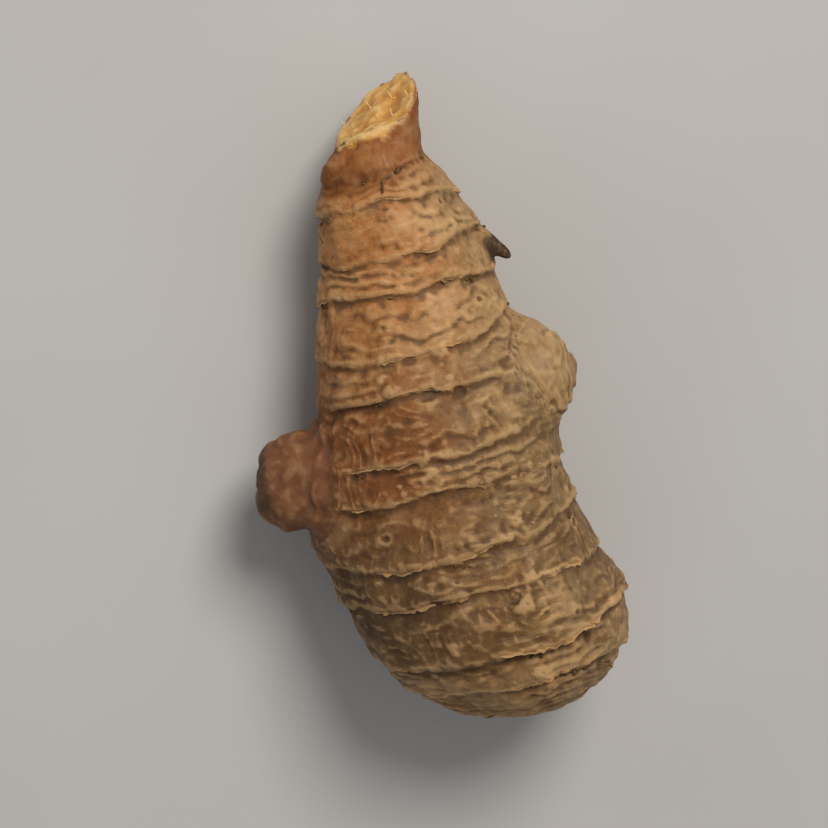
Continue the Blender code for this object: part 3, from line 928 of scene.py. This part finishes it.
def marks_over(skin, settings):
    """Pits, nubs and scars of fallen rootlets, and patches of painted highlight: their relief, pale rims and
    painted highlights, and dark eyes.
    """
    draw = random.Random(settings.seed)
    places = [(kind, distance * MM, math.radians(angle), radius * MM)
              for kind, distance, angle, radius in PLACED_MARKS]
    for _ in range(settings.mark_count):
        distance = draw.choice(RINGS[1:, 0]) + draw.uniform(*SCATTERED_PAST_RING) * MM
        kind = draw.choice(SCATTERED_KINDS)
        angle, radius = draw.uniform(-math.pi, math.pi), draw.uniform(*SCATTERED_RADIUS) * MM
        places.append((kind, min(distance, AXIS_LENGTH - 2 * MM), angle, radius))
    relief, rim, eye = (np.zeros(len(skin.points)) for _ in range(3))
    ragged = 1.0 + 0.7 * rough("marks", skin.points) + 0.35 * rough("fine marks", skin.points)
    for kind, distance, angle, radius in places:
        nearest = skin.nearest_to(distance, angle)
        offset = skin.points - skin.points[nearest]
        offset[:, 0] *= draw.uniform(*MARK_STRETCH)
        away = np.linalg.norm(offset, axis=1) / radius * ragged
        away[skin.normals @ skin.normals[nearest] < 0.2] = OFF_MARK
        raised, paled, darkened = MARK_FORMS[kind]
        for strength, out, width in raised:
            relief += strength * radius * near(away, out, width)
        # Pale rims of scars, and painted highlights on nubs and patches.
        for strength, out, width in paled:
            rim = np.maximum(rim, strength * near(away, out, width))
        for strength, out, width in darkened:
            eye = np.maximum(eye, strength * near(away, out, width))
    return relief, rim, eye


def neighbours_mean(piece, values, rounds):
    """Values evened out over the mesh's edges."""
    edges = np.empty(len(piece.data.edges) * 2, np.int32)
    piece.data.edges.foreach_get("vertices", edges)
    first, second = edges.reshape(-1, 2).T
    count = np.bincount(edges, minlength=len(values))[:, None]
    for _ in range(rounds):
        total = np.zeros_like(values)
        for column in range(values.shape[1]):
            total[:, column] = np.bincount(first, values[second, column], len(values))
            total[:, column] += np.bincount(second, values[first, column], len(values))
        values = 0.5 * values + 0.5 * total / count
    return values


def fine_body(settings):
    """The frame's root as one fine even mesh, with the facets gone."""
    only(frame["nodes"][NODE])
    bpy.ops.object.duplicate()
    body = added("turmeric_rhizome")
    bpy.ops.object.mode_set(mode="EDIT")
    bpy.ops.mesh.select_all(action="SELECT")
    bpy.ops.mesh.remove_doubles(threshold=0.001 * MM)
    bpy.ops.mesh.tris_convert_to_quads(face_threshold=math.radians(40), shape_threshold=math.radians(60))
    bpy.ops.object.mode_set(mode="OBJECT")
    finish_with(body, "SUBSURF", levels=2, render_levels=2)
    finish_with(body, "REMESH", mode="VOXEL", voxel_size=settings.grain, use_smooth_shade=True)
    finish_with(body, "SMOOTH", factor=0.5, iterations=3)
    soften_joints(body)
    return body


def soften_joints(body):
    """Rounds the inner corners where the bud and the side finger grow out."""
    points = places_of(body)
    along, _, aside = from_stub(points)
    near_stub = near(along, STUB_JOINT, 2.6 * MM) * before(aside, STUB_RADIUS + 2.4 * MM, 2.0 * MM)
    along, _, aside = from_bud(points)
    near_bud = 0.8 * near(aside, BUD_FOOT, 0.9 * MM) * (along > -BUD_DEPTH)
    evened = neighbours_mean(body, points, JOINT_ROUNDS)
    move_to(body, points + (evened - points) * np.maximum(near_stub, near_bud)[:, None])


def relief_over(skin, settings):
    """How far each vertex is raised out of the smooth root."""
    flow, calm, between = skin.flow, skin.calm, skin.between
    falling = (between - FINE_RING_RISE) / (1.0 - FINE_RING_RISE)
    step = np.where(between < FINE_RING_RISE, eased(between / FINE_RING_RISE), 1.0 - eased(falling))
    wrinkles, ripples = ridged(rough("wrinkles", flow)), ridged(rough("ripples", flow))
    lumpy = rough("lumps", skin.points) + 0.8 * rough("small lumps", skin.points)
    lumpy = lumpy * (1.0 - 0.3 * skin.bud + 0.6 * skin.stub - 0.3 * skin.young)

    relief = skin.on_rings * settings.lip_height * skin.lip * (1.0 + 1.2 * rough("lip grain", flow))
    relief += skin.on_rings * settings.between_height * (step - 0.5) * skin.fading
    relief += calm * settings.wrinkle_height * 0.8 * skin.lengthwise * (wrinkles - 0.5)
    relief += calm * settings.wrinkle_height * skin.crosswise * (ripples - 0.5) * (1.0 - 0.4 * skin.young)
    relief += calm * settings.lump_height * lumpy
    relief += calm * (GRAIN_HEIGHT * rough("grains", skin.points) + skin.mark_relief * (1.0 - skin.shoot))

    broken = clipped(0.45 + 2.0 * rough("broken rings", skin.points))
    stub_along = skin.stub_along + 0.9 * MM * rough("finger's rings", skin.points)
    for ring in STUB_RINGS:
        relief += skin.stub * broken * ridge(stub_along - ring, *STUB_RIDGE)
    for ring in BUD_RINGS:
        relief += skin.bud * (0.3 + 0.7 * broken) * ridge(skin.bud_tip_away - ring * BUD_CAP, *BUD_RIDGE)

    torn = rough("flesh", skin.points) + 0.8 * rough("broad flesh", skin.points)
    return relief + skin.flesh * (FLESH_HEIGHT * torn + STELE_HEIGHT * near(skin.tear_out, STELE, 0.08))


def raise_skin(body, settings):
    """Raises the fine relief of the skin."""
    skin = Surface(body, settings)
    skin.raised = skin.points + skin.normals * relief_over(skin, settings)[:, None]
    skin.raised[:, 2] = np.maximum(skin.raised[:, 2], 0.0)
    move_to(body, skin.raised)
    return skin


def hollows_in(body, points, rounds, full):
    """How far each vertex lies under its surroundings, as a share of a full hollow."""
    return ((neighbours_mean(body, points, rounds) - points) * normals_of(body)).sum(1) / full


def grooves_over(skin):
    """Dark grooves, of the rings' own colour and painted shade: narrow behind each lip, finer between the
    fine rings, and wide where the painted shade is deep.
    """
    shade = GROOVE_SHADE[np.clip(np.rint(skin.number), 0, len(RINGS) - 1).astype(int)]
    narrow = clipped(1.0 - skin.share / 0.15) + after(skin.share, 0.955, 0.03)
    narrow = narrow * np.clip(skin.strength + 0.1, 0.1, 1.0) * (0.30 + 0.70 * skin.patchy) * shade
    finer = near(skin.between, 0.98, 0.07) + near(skin.between, 0.02, 0.07)
    narrow += 0.5 * finer * skin.fading * (1.0 - 0.6 * skin.young)
    wide = 0.6 * (near(skin.share, 0.0, 0.30) + near(skin.share, 1.0, 0.22)) * (shade - 0.7) * skin.patchy
    return clipped(np.maximum(narrow, clipped(wide)) * skin.on_rings)


def paint_skin(body, skin):
    """Paints what the materials need on the raised skin."""
    distance, side, upward = skin.distance, skin.side, skin.upward
    fine_depth = hollows_in(body, skin.raised, *FINE_HOLLOW)
    broad_depth = hollows_in(body, skin.raised, *BROAD_HOLLOW)
    dust = clipped(0.5 * fine_depth + 0.8 * broad_depth)
    dust = dust * clipped(0.3 + 1.5 * rough("dust", skin.points))
    blush = before(distance, *BLUSH_END) * eased(0.90 - 0.6 * side) * (0.8 + 0.2 * upward)
    middle = near(distance, *ROSY_MIDDLE) * before(side, 0.35, 0.9)
    old = after(distance, *OLD_START) * (1.0 - 0.45 * after(distance, *OLD_FADING))
    # Painted shade, strongest on the -Y side and weaker on the +Y side.
    soiled = before(side, 0.1, 0.8) + 0.4 * after(side, 0.1, 0.7)
    bud_edge = skin.bud_aside + 1.1 * MM * rough("bud's edge", skin.points)
    inner_flesh = neighbours_mean(body, skin.flesh[:, None], 10)[:, 0]
    bare = skin.calm * (1.0 - skin.shoot)
    paint(
        body,
        flow=skin.flow,
        lengthwise=skin.lengthwise,
        crosswise=skin.crosswise,
        # dark ring lines, partly painted shade
        groove=grooves_over(skin),
        # pale lips: dry edges, with painted highlight
        lip=clipped(skin.lip * skin.on_rings * skin.patchy),
        blush=clipped(blush),
        rosy=clipped(np.maximum(skin.stub, middle)),
        # painted light: cool grey on the +Y side and the top
        ashen=clipped(after(side, -0.1, 0.9) * (0.5 + 0.5 * upward)),
        # painted shade towards the growing end, kept off the side finger
        soiled=soiled * near(distance, *PAINTED_SHADE_MIDDLE) * (1.0 - skin.stub),
        aged=old * (1.0 - 0.6 * skin.bud),
        stub=skin.stub,
        # pale scar rims and painted highlights
        mark_rim=skin.mark_rim * bare,
        mark_eye=skin.mark_eye * bare,
        # painted shade in fine and broad hollows
        hollow=clipped(0.8 * fine_depth + 0.5 * clipped(broad_depth)),
        # painted highlight on convex crests
        crest=clipped(-fine_depth),
        dust=clipped(0.8 * dust),
        neck=before(distance, *NECK_END) * (1.0 - skin.flesh),
        # painted shade in the crease at the neck's foot
        fold=skin.calm * near(distance, *NECK_FOLD) * before(side, 0.5, 0.9),
        bud=skin.bud * before(bud_edge, BUD_FOOT - 0.6 * MM, 2.2 * MM),
        bud_tip=skin.bud * before(skin.bud_tip_away, 0.62 * BUD_CAP, 1.1 * MM),
        dead=np.maximum(skin.dead, 0.75 * skin.stub_end),
        core=0.5 * before(skin.tear_out, STELE, 0.1),
        stele=0.35 * near(skin.tear_out, STELE, 0.06),
        rim=0.85 * before(inner_flesh, 0.95, 0.4),
    )


def give_flesh(body, skin, settings):
    """Gives the faces of the torn neck their own material."""
    body.data.materials.clear()
    body.data.materials.append(cork_skin(settings))
    body.data.materials.append(torn_flesh(settings))
    for face in body.data.polygons:
        if skin.flesh[list(face.vertices)].all():
            face.material_index = 1


class Skin:
    """The finished skin, to set small pieces on."""

    def __init__(self, body):
        places = [corner.co.copy() for corner in body.data.vertices]
        self.tree = BVHTree.FromPolygons(places, [list(face.vertices) for face in body.data.polygons])

    def at(self, distance, angle):
        """The skin's point at this distance and angle, the way out of it, and the way along it."""
        first, out = self.hit(distance, angle)
        second, _ = self.hit(min(distance + 0.5 * MM, AXIS_LENGTH - 0.3 * MM), angle)
        ahead = second - first
        ahead -= out * ahead.dot(out)
        return first, out, ahead.normalized()

    def hit(self, distance, angle):
        way = spoke(distance, angle).normalized()
        place, out, *_ = self.tree.ray_cast(axis_point(distance) + way * 30 * MM, -way)
        if place is None:
            raise RuntimeError(f"no skin at {distance:.4f} m and {angle:.2f} rad")
        return place, out


def ring_line(place, angle):
    """The distance along the root of a ring's line at this angle."""
    return place + float(ring_shift(np.array([place]), np.array([angle]))[0])


def tear_line(angle):
    """The distance of the skin just behind the edge of the tear, at this angle."""
    y, z = spoke(NECK_EDGE, angle).yz
    return NECK_EDGE + (TEAR_RISE + TEAR_TWIST * y) * z + TEAR_SLANT * y + TORN_SKIN_BACK


def bare_of(place):
    """1 where a point lies on the finger itself, falling to 0 on the bud and the side finger."""
    point = np.array([place])
    bud_away = from_bud(point)[2][0]
    stub_along, _, stub_away = from_stub(point)
    on_stub = float(stub_along[0] > STUB_START - 1.0 * MM and stub_away[0] < STUB_RADIUS + 0.8 * MM)
    return float(after(bud_away, BUD_FOOT, 1.0 * MM)) * (1.0 - on_stub)


def leaf_strip(skin, line, start, span, width, lift, draw):
    """One ragged strip rooted on a line round the root. It reaches back where its span runs backwards."""
    radius = float(girth(line(start), 1) * closing(line(start)))
    columns = max(8, int(abs(span) * radius / STRIP_STEP))
    bpy.ops.mesh.primitive_grid_add(x_subdivisions=columns, y_subdivisions=3, size=1.0)
    strip = added("strip")
    offset = draw.uniform(0.0, 50.0)
    places, edges = [], []
    for corner in strip.data.vertices:
        along, across = corner.co.x + 0.5, corner.co.y + 0.5
        angle = start + span * along
        ends = min(1.0, STRIP_TAPER * along, STRIP_TAPER * (1.0 - along))
        tooth, tear, curl = (
            noise.noise((along * columns * step + offset, row, 0.0)) for step, row in STRIP_NOISE
        )
        point, out, ahead = skin.at(line(angle), angle)
        bare = bare_of(point)
        reach = across * width * max(0.05, ends * (0.7 + 0.5 * tear + 0.5 * tooth)) * bare
        rise = lift * (1.0 + 1.1 * curl)
        root = STRIP_ROOT + 0.2 * MM * (1.0 - bare)
        onward = ahead * math.copysign(reach, span) * math.cos(rise)
        target = point - out * root + onward + out * reach * math.sin(rise)
        target.z = max(target.z, 0.05 * MM)
        places.append(target)
        edges.append(across)
    move_to(strip, np.array(places))
    paint(strip, edge=0.7 * after(np.array(edges), 0.5, 0.5))
    return strip


def strips_round(skin, line, start, ranges, draw, backwards=False):
    """Strips one after another round the root, with gaps between them."""
    strips, turned = [], 0.0
    while turned < math.tau - ranges["bare"]:
        span = draw.uniform(*ranges["span"])
        width, lift = draw.uniform(*ranges["width"]) * MM, math.radians(draw.uniform(*ranges["lift"]))
        first, turn = (start + turned + span, -span) if backwards else (start + turned, span)
        strips.append(leaf_strip(skin, line, first, turn, width, lift, draw))
        turned += span + draw.uniform(*ranges["gap"])
    return strips


def husks(body, settings):
    """Ragged papery remains of the scale leaves along parts of the rings."""
    skin = Skin(body)
    draw = random.Random(settings.seed + 1)
    strips = []
    for number in range(1, len(RINGS)):
        place = RINGS[number, 0] - (1.0 - RING_LIP) * (RINGS[number, 0] - RINGS[number - 1, 0])
        start = draw.uniform(0.0, math.tau)
        strips += strips_round(skin, partial(ring_line, place), start, HUSKS, draw)
    piece = joined(strips, "scale_leaf_remains")
    finish_with(piece, "SOLIDIFY", thickness=HUSK_THICKNESS, offset=0.0)
    hand_in(piece, dry_husk())


def torn_skin(body, settings):
    """The thin torn edge of the skin, curling out round the flesh."""
    draw = random.Random(settings.seed + 4)
    strips = strips_round(Skin(body), tear_line, 0.0, TORN_SKIN, draw, backwards=True)
    piece = joined(strips, "torn_skin_edge")
    finish_with(piece, "SOLIDIFY", thickness=TORN_SKIN_THICKNESS, offset=0.0)
    hand_in(piece, dry_husk())


def tube_template(rings, sides):
    """A straight tube from z 0 to z 1, of radius 1, extruded ring by ring."""
    bpy.ops.mesh.primitive_circle_add(vertices=sides, radius=1.0, fill_type="NGON")
    template = added("tube_template")
    bpy.ops.object.mode_set(mode="EDIT")
    bpy.ops.mesh.select_all(action="SELECT")
    for _ in range(rings):
        bpy.ops.mesh.extrude_region_move(TRANSFORM_OT_translate={"value": (0.0, 0.0, 1.0 / rings)})
    bpy.ops.mesh.select_all(action="SELECT")
    bpy.ops.mesh.normals_make_consistent(inside=False)
    bpy.ops.object.mode_set(mode="OBJECT")
    return template


def bent(template, path, radius):
    """A copy of a tube template, bent along a path and thinning towards its tip."""
    tube = copied(template)
    shares = places_of(tube)[:, 2]
    for corner in tube.data.vertices:
        share = corner.co.z
        here, ahead = path(share), path(min(1.0, share + 0.02)) - path(max(0.0, share - 0.02))
        ahead.normalize()
        aside = ahead.cross(Vector((0.31, 0.12, 0.94))).normalized()
        way = aside * corner.co.x + ahead.cross(aside) * corner.co.y
        uneven = 1.0 + 0.4 * noise.noise(here / TUBE_LUMPS + way)
        corner.co = here + way * radius * (1.0 - TUBE_TAPER * share) * uneven
        corner.co.z = max(corner.co.z, 0.03 * MM)
    paint(tube, edge=shares)
    return tube


def rootlet_path(foot, out, lean, length, curl):
    """A path that leaves the skin and bends over to lie along it."""

    def path(share):
        rise = 0.34 * length * math.sin(share * math.pi * 0.75)
        wave = curl * math.sin(share * 4.0) * share
        forward = lean * share * length * (0.5 + 0.5 * share)
        return foot - out * 0.35 * MM + out * rise + forward + lean.cross(out) * wave

    return path


def rootlets(body, settings):
    """Dried hair roots that are left in the grooves."""
    skin = Skin(body)
    draw = random.Random(settings.seed + 2)
    template = tube_template(rings=12, sides=7)
    tubes = []
    while len(tubes) < settings.rootlet_count:
        angle = draw.uniform(*ROOTLET_ANGLES)
        distance = ring_line(draw.choice(RINGS[:-1, 0]), angle) + ROOTLET_PAST_RING
        point, out, ahead = skin.at(distance, angle)
        turn = Matrix.Rotation(draw.uniform(*ROOTLET_TURN), 3, out)
        length, radius = draw.uniform(*ROOTLET_LENGTH) * MM, draw.uniform(*ROOTLET_RADIUS) * MM
        path = rootlet_path(point, out, turn @ ahead, length, draw.uniform(*ROOTLET_CURL) * MM)
        if bare_of(point) == 1.0:
            tubes.append(bent(template, path, radius))
    bpy.data.objects.remove(template)
    hand_in(joined(tubes, "dried_rootlets"), dead_rootlet())


def fibres(body, settings):
    """Short fibres that stand out of the torn flesh."""
    draw = random.Random(settings.seed + 5)
    template = tube_template(rings=6, sides=5)
    faces = [face for face in body.data.polygons if face.material_index == 1]
    tubes = []
    for _ in range(settings.fibre_count):
        face = draw.choice(faces)
        aside = Vector([draw.uniform(-1.0, 1.0) for _ in range(3)])
        lean = (face.normal + aside).normalized()
        length, curl = draw.uniform(*FIBRE_LENGTH) * MM, draw.uniform(*FIBRE_CURL) * MM
        path = rootlet_path(face.center.copy(), face.normal.copy(), lean, length, curl)
        tubes.append(bent(template, path, draw.uniform(*FIBRE_RADIUS) * MM))
    bpy.data.objects.remove(template)
    hand_in(joined(tubes, "flesh_fibres"), pale_fibre())


def crumb_template():
    """One rough crumb of soil, of radius 1."""
    bpy.ops.mesh.primitive_ico_sphere_add(subdivisions=2, radius=1.0)
    template = added("crumb_template")
    for corner in template.data.vertices:
        corner.co *= 1.0 + 0.55 * noise.noise(corner.co * 1.3)
    return template


def soil(body, settings):
    """Crumbs of soil, in clusters caught in the grooves and a few on their own."""
    skin = Skin(body)
    draw = random.Random(settings.seed + 3)
    template = crumb_template()
    crumbs = []
    while len(crumbs) < settings.crumb_count:
        in_groove = draw.random() < IN_GROOVES
        centre = draw.choice(RINGS[:-1, 0]) if in_groove else draw.uniform(*OUT_OF_GROOVES) * MM
        angle = draw.uniform(-math.pi, math.pi)
        for _ in range(draw.randrange(*CLUSTER_COUNT)):
            turned = angle + draw.gauss(0.0, CLUSTER_SPREAD)
            place = ring_line(centre, turned) + draw.gauss(*CLUSTER_PAST_RING) * MM
            point, out, _ = skin.at(max(place, SOIL_START), turned)
            if point.z < SOIL_LOWEST or bare_of(point) < 1.0:
                continue
            size = min(CRUMB_LARGEST, CRUMB_SMALLEST + draw.expovariate(CRUMB_RATE)) * MM
            spin = Matrix.Rotation(draw.uniform(0.0, math.tau), 4, "Z")
            tilt = Matrix.Rotation(draw.uniform(0.0, math.pi), 4, "X")
            width, height = size * draw.uniform(*CRUMB_WIDTH), size * draw.uniform(*CRUMB_HEIGHT)
            flat = Matrix.Diagonal((size, width, height, 1.0))
            crumb = copied(template)
            crumb.data.transform(Matrix.Translation(point + out * size * 0.15) @ spin @ tilt @ flat)
            crumbs.append(crumb)
    bpy.data.objects.remove(template)
    hand_in(joined(crumbs, "soil_crumbs"), dry_soil())


def aimed(piece, place, target, up=Vector((0.0, 0.0, 1.0))):
    """Puts a camera or a light at a place, looking at the target."""
    back = (place - target).normalized()
    right = up.cross(back).normalized()
    turned = Matrix((right, back.cross(right), back)).transposed()
    piece.matrix_world = Matrix.Translation(place) @ turned.to_4x4()


def add_light(name, target, power, direction, distance, width, colour):
    bpy.ops.object.light_add(type="AREA")
    light = bpy.context.active_object
    light.name = name
    light.data.shape = "DISK"
    light.data.size = width
    light.data.energy = power
    light.data.color = srgb(colour)[:3]
    aimed(light, target + direction * distance, target)


def add_floor():
    """A wide pale floor that meets the light of the sky."""
    deselect()
    bpy.ops.mesh.primitive_circle_add(vertices=96, radius=FLOOR_RADIUS, fill_type="NGON")
    floor = added("floor")
    bpy.ops.object.mode_set(mode="EDIT")
    bpy.ops.mesh.select_all(action="SELECT")
    bpy.ops.mesh.inset(thickness=FLOOR_INSET)
    bpy.ops.object.mode_set(mode="OBJECT")
    floor.data.materials.append(painted_board())


def add_sky(scene, strength):
    world = bpy.data.worlds.new("pale_sky")
    world.use_nodes = True
    background = world.node_tree.nodes["Background"]
    background.inputs["Color"].default_value = srgb(SKY_COLOUR)
    background.inputs["Strength"].default_value = strength
    scene.world = world
    scene.view_settings.view_transform = "Standard"


def add_camera(scene, target, settings):
    tall = (cad_box[1].x - cad_box[0].x) / settings.share
    bpy.ops.object.camera_add()
    camera = bpy.context.active_object
    camera.data.lens = settings.lens
    camera.data.sensor_width = SENSOR_WIDTH
    camera.data.clip_start, camera.data.clip_end = CLIP_RANGE
    distance = tall * settings.lens / SENSOR_WIDTH
    aimed(camera, target + VIEW_FROM * distance, target, VIEW_UP)
    scene.camera = camera


class TURMERIC_OT_rhizome(bpy.types.Operator):
    """Model the rhizome itself, with its ringed skin and torn neck"""

    bl_idname = "turmeric.rhizome"
    bl_label = "Rhizome"

    def execute(self, context):
        settings = context.scene.turmeric_root
        body = fine_body(settings)
        skin = raise_skin(body, settings)
        paint_skin(body, skin)
        give_flesh(body, skin, settings)
        hand_in(body)
        return {"FINISHED"}


class TURMERIC_OT_leaves(bpy.types.Operator):
    """Set the ragged remains of the scale leaves on the rings, and the torn skin on the neck"""

    bl_idname = "turmeric.leaves"
    bl_label = "Leaf Remains and Torn Skin"

    def execute(self, context):
        husks(bpy.data.objects["turmeric_rhizome"], context.scene.turmeric_root)
        torn_skin(bpy.data.objects["turmeric_rhizome"], context.scene.turmeric_root)
        return {"FINISHED"}


class TURMERIC_OT_rootlets(bpy.types.Operator):
    """Grow the dried rootlets, and the fibres of the torn flesh"""

    bl_idname = "turmeric.rootlets"
    bl_label = "Rootlets and Fibres"

    def execute(self, context):
        rootlets(bpy.data.objects["turmeric_rhizome"], context.scene.turmeric_root)
        fibres(bpy.data.objects["turmeric_rhizome"], context.scene.turmeric_root)
        return {"FINISHED"}


class TURMERIC_OT_soil(bpy.types.Operator):
    """Scatter crumbs of soil in the grooves"""

    bl_idname = "turmeric.soil"
    bl_label = "Soil"

    def execute(self, context):
        soil(bpy.data.objects["turmeric_rhizome"], context.scene.turmeric_root)
        return {"FINISHED"}


class TURMERIC_OT_stage(bpy.types.Operator):
    """Add the floor, the soft lights, the sky and the camera"""

    bl_idname = "turmeric.stage"
    bl_label = "Stage"

    def execute(self, context):
        settings = context.scene.turmeric_stage
        target = (cad_box[0] + cad_box[1]) / 2
        add_floor()
        add_light("key_light", target, settings.key, *KEY_LIGHT)
        add_light("fill_light", target, settings.fill, *FILL_LIGHT)
        add_sky(context.scene, settings.sky)
        add_camera(context.scene, target, settings)
        return {"FINISHED"}


class TURMERIC_PT_sidebar(bpy.types.Panel):
    """Sizes and colours of the root, and a button for each of its pieces"""

    bl_idname = "TURMERIC_PT_sidebar"
    bl_label = "Turmeric Root"
    bl_space_type = "VIEW_3D"
    bl_region_type = "UI"
    bl_category = "Turmeric"

    def draw(self, context):
        for settings in (context.scene.turmeric_root, context.scene.turmeric_stage):
            for name in settings.__annotations__:
                self.layout.prop(settings, name)
        for operator in OPERATORS:
            self.layout.operator(operator.bl_idname)


OPERATORS = (
    TURMERIC_OT_rhizome,
    TURMERIC_OT_leaves,
    TURMERIC_OT_rootlets,
    TURMERIC_OT_soil,
    TURMERIC_OT_stage,
)
CLASSES = (RootSettings, StageSettings, *OPERATORS, TURMERIC_PT_sidebar)


def register():
    for each in CLASSES:
        bpy.utils.register_class(each)
    bpy.types.Scene.turmeric_root = bpy.props.PointerProperty(type=RootSettings)
    bpy.types.Scene.turmeric_stage = bpy.props.PointerProperty(type=StageSettings)


def unregister():
    del bpy.types.Scene.turmeric_stage
    del bpy.types.Scene.turmeric_root
    for each in reversed(CLASSES):
        bpy.utils.unregister_class(each)


def main():
    register()
    bpy.ops.turmeric.rhizome()
    bpy.ops.turmeric.leaves()
    bpy.ops.turmeric.rootlets()
    bpy.ops.turmeric.soil()
    bpy.ops.turmeric.stage()


if __name__ == "__main__":
    main()
